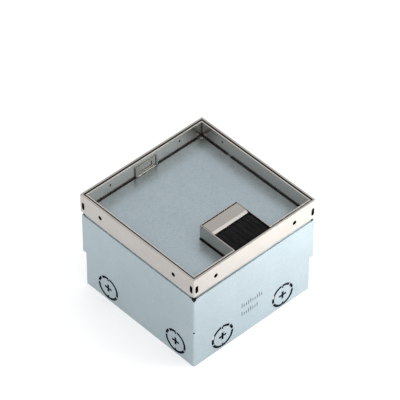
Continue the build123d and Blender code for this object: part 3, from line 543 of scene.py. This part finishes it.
def make_brush():
    """Bristles in loose tufts, in place of the solid pad."""
    low, high = map(Vector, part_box("brush_bristles"))
    rng = random.Random(FIBRE_SEED)
    verts, faces = [], []
    columns = int((high.x - low.x) / FIBRE_PITCH)
    for layer in range(FIBRE_LAYERS):
        for column in range(columns):
            stray = rng.uniform(-FIBRE_STRAY, FIBRE_STRAY)
            x = low.x + (column + 0.5 + stray) * (high.x - low.x) / columns
            x += TUFT_PULL * math.sin(2 * math.pi * x / TUFT_PITCH)
            dip = TUFT_DIP * (1 + math.cos(2 * math.pi * x / TUFT_PITCH))
            share = max(0.0, (layer + rng.random()) / FIBRE_LAYERS - dip)
            add_fibre(verts, faces, fibre_line(low, high, share, x, rng))
    brush = mesh_piece("brush_filaments", verts, faces, FIBRE, "flap", smooth=True)
    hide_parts("brush_bristles")


# Levelling screws
THREAD_STEPS = 24            # points round the thread
THREAD_PITCH = 1.0 * MM
THREAD_DEEP = 0.55 * MM
SCREW_END = 0.7 * MM         # smooth tapered ends
SCREW_TAPER = 0.82
SOCKET_HALF = 1.5 * MM       # half the hexagon's width across flats
SOCKET_DEEP = 4.0 * MM
SCREWS = {"level_screw_front": "screw_front", "level_screw_left": "screw_left",
          "level_screw_right": "screw_right", "level_screw_back": "screw_back"}


def step_angle(step):
    """The angle of one of the equal steps round a screw."""
    return 2 * math.pi * step / THREAD_STEPS


def around(middle, radius, step, z):
    """A point at one of the equal steps round a screw."""
    angle = step_angle(step)
    return (middle.x + radius * math.cos(angle), middle.y + radius * math.sin(angle), z)


def round_ring(middle, radius, z):
    """Points of a circle."""
    return [around(middle, radius, step, z) for step in range(THREAD_STEPS)]


def hexagon_ring(middle, half, z):
    """As many points on a hexagon, given half its width across flats."""
    points = []
    for step in range(THREAD_STEPS):
        off_flat = (step_angle(step) + math.pi / 6) % (math.pi / 3) - math.pi / 6
        points.append(around(middle, half / math.cos(off_flat), step, z))
    return points


def thread_columns(middle, inside, first, turns):
    """Upright lines of points, root and crest in turn, each a little higher than the last."""
    points = []
    for step in range(THREAD_STEPS):
        for row in range(2 * turns + 1):
            radius = inside + (THREAD_DEEP if row % 2 else 0.0)
            z = first + THREAD_PITCH * (row / 2 + step / THREAD_STEPS)
            points.append(around(middle, radius, step, z))
    return points


def joined_rings(lower, upper):
    """Faces between two rings, from the number of their first points."""
    faces = []
    for step in range(THREAD_STEPS):
        after = (step + 1) % THREAD_STEPS
        faces.append((lower + step, lower + after, upper + after, upper + step))
    return faces


def thread_faces(start, turns, below, above):
    """Faces of the thread and of its run-out into the ring below and the ring above."""
    top = 2 * turns
    end = THREAD_STEPS - 1

    def at(step, row):
        return start + step * (top + 1) + row

    faces = []
    for step in range(end):
        faces.append((below + step, below + step + 1, at(step + 1, 0), at(step, 0)))
        faces.append((at(step, top), at(step + 1, top), above + step + 1, above + step))
        for row in range(top):
            faces.append((at(step, row), at(step + 1, row),
                          at(step + 1, row + 1), at(step, row + 1)))
    for row in range(top - 2):
        faces.append((at(end, row), at(0, row + 2), at(0, row + 3), at(end, row + 1)))
    faces.append((below + end, below, at(0, 0), at(0, 1), at(0, 2), at(end, 0)))
    faces.append((at(end, top - 2), at(0, top), above, above + end, at(end, top), at(end, top - 1)))
    return faces


def make_screw(node, body):
    """A threaded grub screw with a hexagon socket, in place of the plain rod."""
    low, high = map(Vector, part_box(node))
    middle = (low + high) / 2
    inside = (high.x - low.x) / 2 - THREAD_DEEP
    first = low.z + SCREW_END
    turns = int((high.z - SCREW_END - first) / THREAD_PITCH) - 1
    last = first + THREAD_PITCH * (turns + 1)
    rings = (round_ring(middle, inside * SCREW_TAPER, low.z),
             round_ring(middle, inside, first),
             round_ring(middle, inside, last),
             round_ring(middle, inside * SCREW_TAPER, high.z),
             hexagon_ring(middle, SOCKET_HALF, high.z),
             hexagon_ring(middle, SOCKET_HALF, high.z - SOCKET_DEEP))
    verts = [point for points in rings for point in points]
    bottom, below, above, top, rim, floor = (index * THREAD_STEPS for index in range(len(rings)))
    faces = [tuple(range(bottom, bottom + THREAD_STEPS)), tuple(range(floor, floor + THREAD_STEPS))]
    for lower, upper in ((bottom, below), (above, top), (top, rim), (rim, floor)):
        faces += joined_rings(lower, upper)
    faces += thread_faces(len(verts), turns, below, above)
    verts += thread_columns(middle, inside, first, turns)
    screw = mesh_piece(f"{node}_thread", verts, faces, PLATING, body)
    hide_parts(node)


# Corner welds of the frame
WALL_T = 3.0 * MM
FRAME_H = 28.0 * MM
WELD_LEG = 1.7 * MM
WELD_DEEP = 0.6 * MM         # how far the welds run into the joint of the walls
WELD_HOLLOW = 0.32           # share of the leg by which their face is hollow
WELD_STEPS = 5
WELD_END = 1.5 * MM          # they stop this far above the ledge and below the rim


def make_welds():
    """Small hollow welds in the four inner corners of the frame, where its walls meet."""
    _, high = map(Vector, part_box("top_frame"))
    inner = high.x - WALL_T + WELD_DEEP
    ledge = high.z - FRAME_H + WALL_T
    verts, faces = [], []
    for sx, sy in ((-1, -1), (1, -1), (1, 1), (-1, 1)):
        section = [(inner, inner)]
        for step in range(WELD_STEPS + 1):
            angle = math.pi / 2 * step / WELD_STEPS
            reach = WELD_LEG * (1 - WELD_HOLLOW * math.sin(2 * angle))
            section.append((inner - reach * math.cos(angle), inner - reach * math.sin(angle)))
        faces += prism_faces(len(verts), len(section))
        for z in (ledge + WELD_END, high.z - WELD_END):
            verts += [(sx * x, sy * y, z) for x, y in section]
    mesh_piece("frame_corner_welds", verts, faces, STEEL, "cassette")


# Marks on the box
MARK_PROUD = 0.04 * MM
MARK_EDGE = 0.08 * MM        # sloping edge of each stroke
MARK_W = 1.3 * MM
MARK_PITCH = 3.6 * MM
MARK_H = (7.6 * MM, 4.8 * MM, 4.8 * MM, 6.2 * MM)
MARK_ROWS = ((46.0 * MM, -20.4 * MM, 15.6 * MM),        # height, first and last place of each row
             (32.0 * MM, -20.4 * MM, 8.0 * MM))


def make_marks():
    """Two rows of plain level strokes on the front wall of the box."""
    low, _ = map(Vector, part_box("box_front_shell"))
    verts, faces = [], []
    for z, first, last in MARK_ROWS:
        for number in range(int((last - first) / MARK_PITCH) + 1):
            x = first + number * MARK_PITCH
            left, right = x - MARK_W / 2, x + MARK_W / 2
            top = z + MARK_H[number % len(MARK_H)]
            faces += prism_faces(len(verts), 4)
            for y, inset in ((low.y, 0.0), (low.y - MARK_PROUD, MARK_EDGE)):
                verts += [(left + inset, y, z + inset), (right - inset, y, z + inset),
                          (right - inset, y, top - inset), (left + inset, y, top - inset)]
    mesh_piece("level_marks", verts, faces, STAMPED, "box")


make_brush()
make_welds()
make_marks()
for screw_node, screw_body in SCREWS.items():
    make_screw(screw_node, screw_body)


# Camera, floor and light
CAMERA_AT = Vector((-1.81925, -1.95035, 2.74268))
CAMERA_TO = Vector((0.001796, -0.001678, 0.14276))
CAMERA_FAR = 50.0
SENSOR_MM = 36.0
IMAGE_PX = 400.0
FOCAL_PX = 3105.74
FLOOR_HALF = 12.0
FLOOR_LAP = 1.0 * MM         # the floor reaches this far under the base
FLOOR_GLOW = 0.36            # what the floor still needs to show white
WORLD_LIGHT = 0.92           # strength of the surroundings as light
WORLD_SEEN = 1.0             # and as the camera sees them


def make_camera():
    """The camera of the photograph: long lens, level, looking down at a corner."""
    data = bpy.data.cameras.new("camera")
    data.sensor_width = SENSOR_MM
    data.lens = FOCAL_PX / IMAGE_PX * SENSOR_MM
    data.clip_end = CAMERA_FAR
    camera = bpy.data.objects.new("camera", data)
    camera.location = CAMERA_AT
    camera.rotation_euler = (CAMERA_TO - CAMERA_AT).to_track_quat("-Z", "Y").to_euler()
    bpy.context.scene.collection.objects.link(camera)
    bpy.context.scene.camera = camera


def seen_directly(tree):
    """1 for rays from the camera and for reflected or refracted ones, 0 for diffuse light."""
    path = add(tree, "ShaderNodeLightPath")
    seen = path.outputs["Is Camera Ray"]
    for name in ("Is Glossy Ray", "Is Transmission Ray"):
        seen = calc(tree, "MAXIMUM", seen, path.outputs[name])
    return seen


def floor_material():
    """Pale floor that shows white to the camera and in reflections, and keeps the shadow."""
    mat, tree, shader = material("floor_white")
    clouds = noise(tree, stretched(tree), scale=3.0, detail=2.0)
    colour = ramp(tree, clouds, ((0.3, (0.80, 0.80, 0.80)), (0.7, (0.82, 0.82, 0.82))))
    tree.links.new(colour, shader.inputs["Base Color"])
    shader.inputs["Roughness"].default_value = 0.9
    shader.inputs["Specular IOR Level"].default_value = 0.0
    glow = add(tree, "ShaderNodeEmission")
    glow.inputs["Strength"].default_value = FLOOR_GLOW
    both = add(tree, "ShaderNodeAddShader")
    choice = add(tree, "ShaderNodeMixShader")
    output = tree.nodes["Material Output"]
    tree.links.new(shader.outputs["BSDF"], both.inputs[0])
    tree.links.new(glow.outputs["Emission"], both.inputs[1])
    tree.links.new(seen_directly(tree), choice.inputs["Fac"])
    tree.links.new(shader.outputs["BSDF"], choice.inputs[1])
    tree.links.new(both.outputs["Shader"], choice.inputs[2])
    tree.links.new(choice.outputs["Shader"], output.inputs["Surface"])
    return mat


def make_floor():
    """A wide plain floor, open under the base so that a view from below shows the base."""
    low, high = map(Vector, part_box("base_pan"))
    outer = (-FLOOR_HALF, -FLOOR_HALF, FLOOR_HALF, FLOOR_HALF)
    opening = (low.x + FLOOR_LAP, low.y + FLOOR_LAP, high.x - FLOOR_LAP, high.y - FLOOR_LAP)
    corners = []
    for x0, y0, x1, y1 in (outer, opening):
        corners += [(x0, y0, 0), (x1, y0, 0), (x1, y1, 0), (x0, y1, 0)]
    sides = [(side, (side + 1) % 4, (side + 1) % 4 + 4, side + 4) for side in range(4)]
    mesh = bpy.data.meshes.new("floor")
    mesh.from_pydata(corners, [], sides)
    mesh.materials.append(floor_material())
    floor = bpy.data.objects.new("floor", mesh)
    bpy.context.scene.collection.objects.link(floor)


def make_world():
    """Plain white surroundings."""
    world = bpy.data.worlds.new("studio")
    bpy.context.scene.world = world
    world.use_nodes = True
    tree = world.node_tree
    background = tree.nodes["Background"]
    background.inputs["Color"].default_value = (1.0, 1.0, 1.0, 1.0)
    path = add(tree, "ShaderNodeLightPath")
    strength = spread(tree, path.outputs["Is Camera Ray"], WORLD_LIGHT, WORLD_SEEN)
    tree.links.new(strength, background.inputs["Strength"])


def area_light(name, place, target, width, height, power, colour=(1.0, 1.0, 1.0)):
    """A soft rectangular lamp."""
    data = bpy.data.lights.new(name, "AREA")
    data.shape = "RECTANGLE"
    data.size = width
    data.size_y = height
    data.energy = power
    data.color = colour
    lamp = bpy.data.objects.new(name, data)
    lamp.location = place
    lamp.rotation_euler = (Vector(target) - Vector(place)).to_track_quat("-Z", "Y").to_euler()
    lamp.visible_camera = False
    bpy.context.scene.collection.objects.link(lamp)


make_camera()
make_floor()
make_world()
area_light("floor_bounce", place=(0.33, -0.36, 0.30), target=(0.33, -0.36, 0.0),
           width=0.46, height=0.30, power=2.9, colour=(1.0, 0.99, 0.97))
area_light("top_softbox", place=(0.98, -0.33, 1.85), target=(0.0, 0.0, 0.14),
           width=1.3, height=1.3, power=4.0)

bpy.context.scene.view_settings.view_transform = "Standard"
